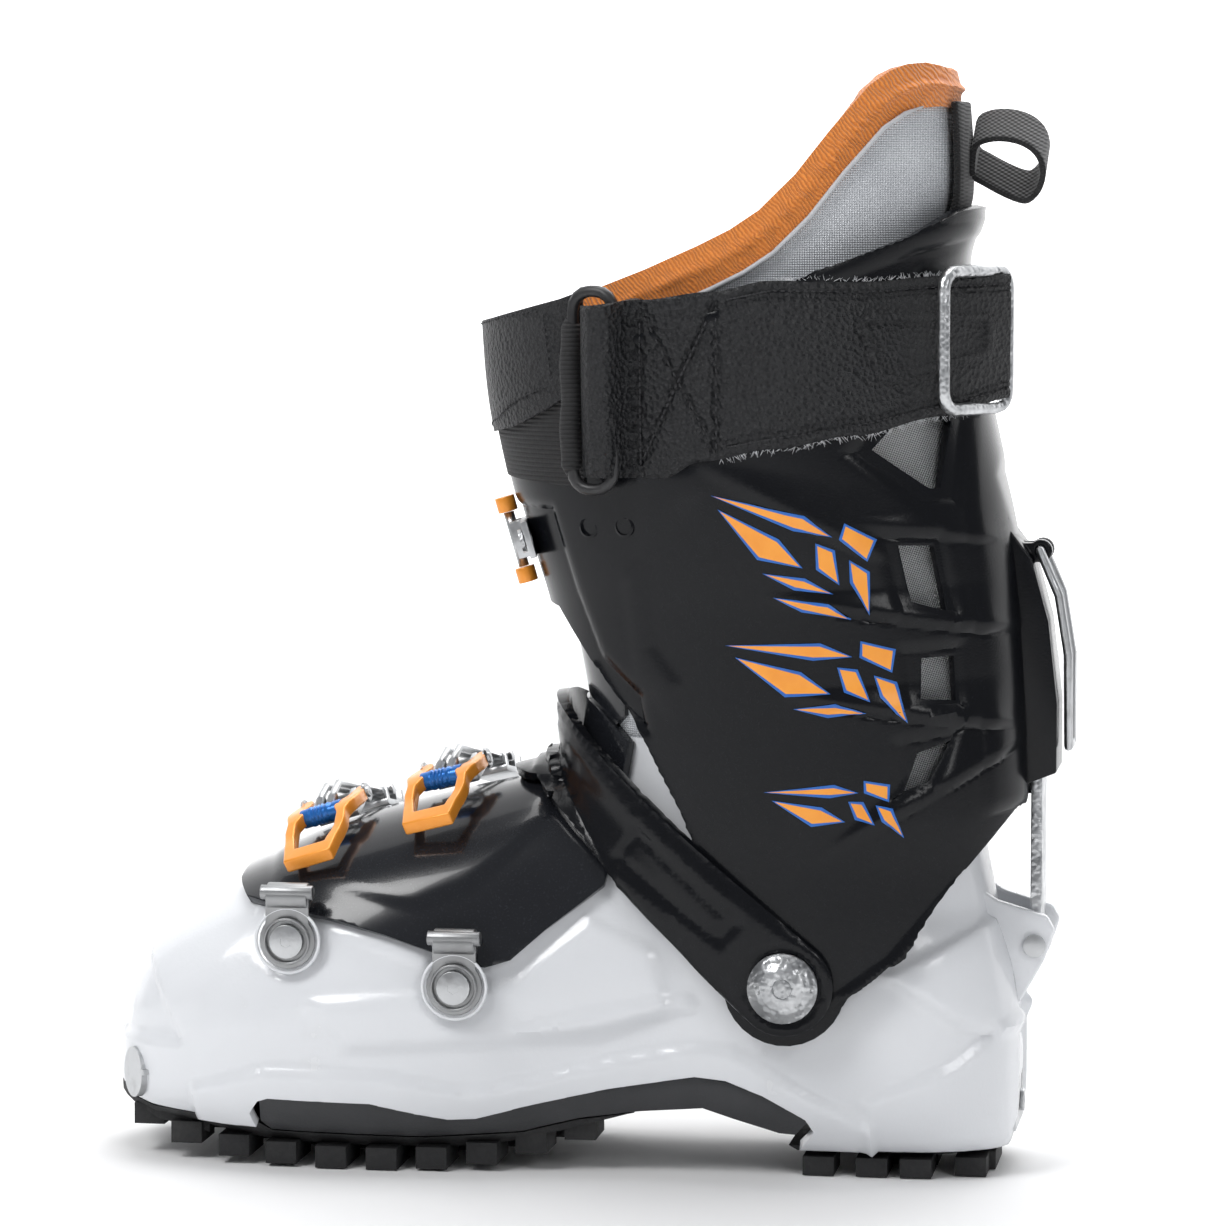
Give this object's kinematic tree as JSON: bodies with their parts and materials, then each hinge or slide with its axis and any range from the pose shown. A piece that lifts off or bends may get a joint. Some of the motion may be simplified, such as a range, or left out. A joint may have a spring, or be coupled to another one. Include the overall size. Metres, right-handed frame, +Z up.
{
  "type": "alpine touring boot",
  "caption": "Hinged alpine touring ski boot: stiff lower shell on a lugged sole, pivoting cuff with rear lean lock, tongue, four buckles, power strap and soft liner.",
  "frame": {"origin": "centre of the heel tread, on the floor", "axes": "+Z up, toe towards -X, the wearer's left side towards -Y"},
  "size_m": [0.3129, 0.1299, 0.355],
  "materials": {
    "white_shell": "moulded gloss white plastic",
    "black_shell": "moulded gloss black plastic",
    "black_plastic": "satin black plastic",
    "rubber": "matt black rubber",
    "arch_plastic": "matt dark grey plastic",
    "steel": "zinc-plated steel",
    "zinc": "bright zinc-plated steel",
    "orange": "orange anodised and lacquered aluminium",
    "blue": "blue gloss plastic",
    "liner": "silver-grey liner cloth with an orange knitted collar",
    "strap_leather": "black grained synthetic leather",
    "webbing": "black woven webbing"
  },
  "bodies": {
    "shell": {"lower_shell": "white_shell", "outsole_forefoot": "rubber", "arch_insert": "arch_plastic", "outsole_heel": "rubber", "toe_tech_insert": "steel", "heel_tech_plate": "steel", "heel_plate_screw": "steel", "boot_board": "arch_plastic", "liner_foot": "liner", "liner_toe_box": "liner", "tongue_instep": "black_shell", "hinge_bracket_toe": "steel", "hinge_rivet_toe": "steel", "hinge_bracket_instep": "steel", "hinge_rivet_instep": "steel", "pivot_rivet_left": "zinc", "pivot_rivet_right": "zinc", "ankle_strap": "black_plastic", "ankle_anchor": "black_plastic", "lean_bar_pin": "steel", "toe_buckle_base": "steel", "toe_ladder": "steel", "toe_ladder_rivet": "steel", "instep_buckle_base": "steel", "instep_ladder": "steel", "instep_ladder_rivet": "steel", "ankle_buckle_base": "steel", "ankle_ladder": "steel", "ankle_ladder_rivet": "steel"},
    "cuff": {"cuff_shell": "black_shell", "tongue_shin": "black_shell", "liner_shaft": "liner", "liner_spine": "webbing", "pull_loop": "webbing", "power_strap_left": "strap_leather", "power_strap_front": "webbing", "power_strap_right": "strap_leather", "strap_ring_front": "black_plastic", "walk_housing": "black_plastic", "cuff_buckle_base": "steel", "cuff_ladder": "steel", "cuff_ladder_rivet": "steel"},
    "lean_bar": {"lean_bar": "zinc"},
    "mode_lever": {"mode_lever": "steel"},
    "rear_ring": {"strap_ring_rear": "zinc"},
    "toe_lever": {"toe_lever": "orange"},
    "toe_bail": {"toe_bail": "steel", "toe_adjuster_cap": "blue"},
    "instep_lever": {"instep_lever": "orange"},
    "instep_bail": {"instep_bail": "steel", "instep_adjuster_cap": "blue"},
    "ankle_lever": {"ankle_lever": "orange"},
    "ankle_bail": {"ankle_bail": "steel", "ankle_adjuster_cap": "blue"},
    "cuff_lever": {"cuff_lever": "orange"},
    "cuff_bail": {"cuff_bail": "steel", "cuff_adjuster_cap": "blue", "cuff_bail_cap_upper": "orange", "cuff_bail_cap_lower": "orange"}
  },
  "joints": [
    {"name": "cuff_lean", "type": "hinge", "parent": "shell", "child": "cuff", "pos_m": [-0.0325, 0, 0.0639], "axis": [0, -1, 0], "range_deg": [-15, 5]},
    {"name": "lean_bar_swing", "type": "hinge", "parent": "shell", "child": "lean_bar", "pos_m": [0.043, 0, 0.0729], "axis": [0, -1, 0], "range_deg": [-18, 6]},
    {"name": "mode_lever_swing", "type": "hinge", "parent": "cuff", "child": "mode_lever", "pos_m": [0.0435, 0, 0.198], "axis": [0, -1, 0], "range_deg": [0, 110]},
    {"name": "rear_ring_swing", "type": "hinge", "parent": "cuff", "child": "rear_ring", "pos_m": [0.0155, -0.0425, 0.2655], "axis": [0, 0, -1], "range_deg": [0, 60]},
    {"name": "toe_lever_swing", "type": "hinge", "parent": "shell", "child": "toe_lever", "pos_m": [-0.1854, -0.006, 0.1135], "axis": [-0.9363, 0.1694, -0.3076], "range_deg": [0, 150]},
    {"name": "toe_bail_swing", "type": "hinge", "parent": "toe_lever", "child": "toe_bail", "pos_m": [-0.18688, -0.01888, 0.11093], "axis": [-0.9363, 0.1694, -0.3076], "range_deg": [-150, 0]},
    {"name": "instep_lever_swing", "type": "hinge", "parent": "shell", "child": "instep_lever", "pos_m": [-0.1455, -0.006, 0.126], "axis": [-0.9495, 0.1809, -0.2562], "range_deg": [0, 150]},
    {"name": "instep_bail_swing", "type": "hinge", "parent": "instep_lever", "child": "instep_bail", "pos_m": [-0.14727, -0.01886, 0.12348], "axis": [-0.9495, 0.1809, -0.2562], "range_deg": [-150, 0]},
    {"name": "ankle_lever_swing", "type": "hinge", "parent": "shell", "child": "ankle_lever", "pos_m": [-0.0665, 0.0584, 0.0948], "axis": [0.6723, 0, 0.7403], "range_deg": [0, 150]},
    {"name": "ankle_bail_swing", "type": "hinge", "parent": "ankle_lever", "child": "ankle_bail", "pos_m": [-0.05705, 0.06183, 0.08622], "axis": [0.6723, 0, 0.7403], "range_deg": [-150, 0]},
    {"name": "cuff_lever_swing", "type": "hinge", "parent": "cuff", "child": "cuff_lever", "pos_m": [-0.116, 0.03336, 0.20049], "axis": [-0.2053, 0.1456, 0.9678], "range_deg": [0, 150]},
    {"name": "cuff_bail_swing", "type": "hinge", "parent": "cuff_lever", "child": "cuff_bail", "pos_m": [-0.11037, 0.04531, 0.19989], "axis": [-0.2053, 0.1456, 0.9678], "range_deg": [-150, 0]}
  ],
  "couplings": [
    {"joint": "lean_bar_swing", "follows": "cuff_lean", "ratio": 1.2},
    {"joint": "toe_bail_swing", "follows": "toe_lever_swing", "ratio": -1},
    {"joint": "instep_bail_swing", "follows": "instep_lever_swing", "ratio": -1},
    {"joint": "ankle_bail_swing", "follows": "ankle_lever_swing", "ratio": -1},
    {"joint": "cuff_bail_swing", "follows": "cuff_lever_swing", "ratio": -1}
  ]
}
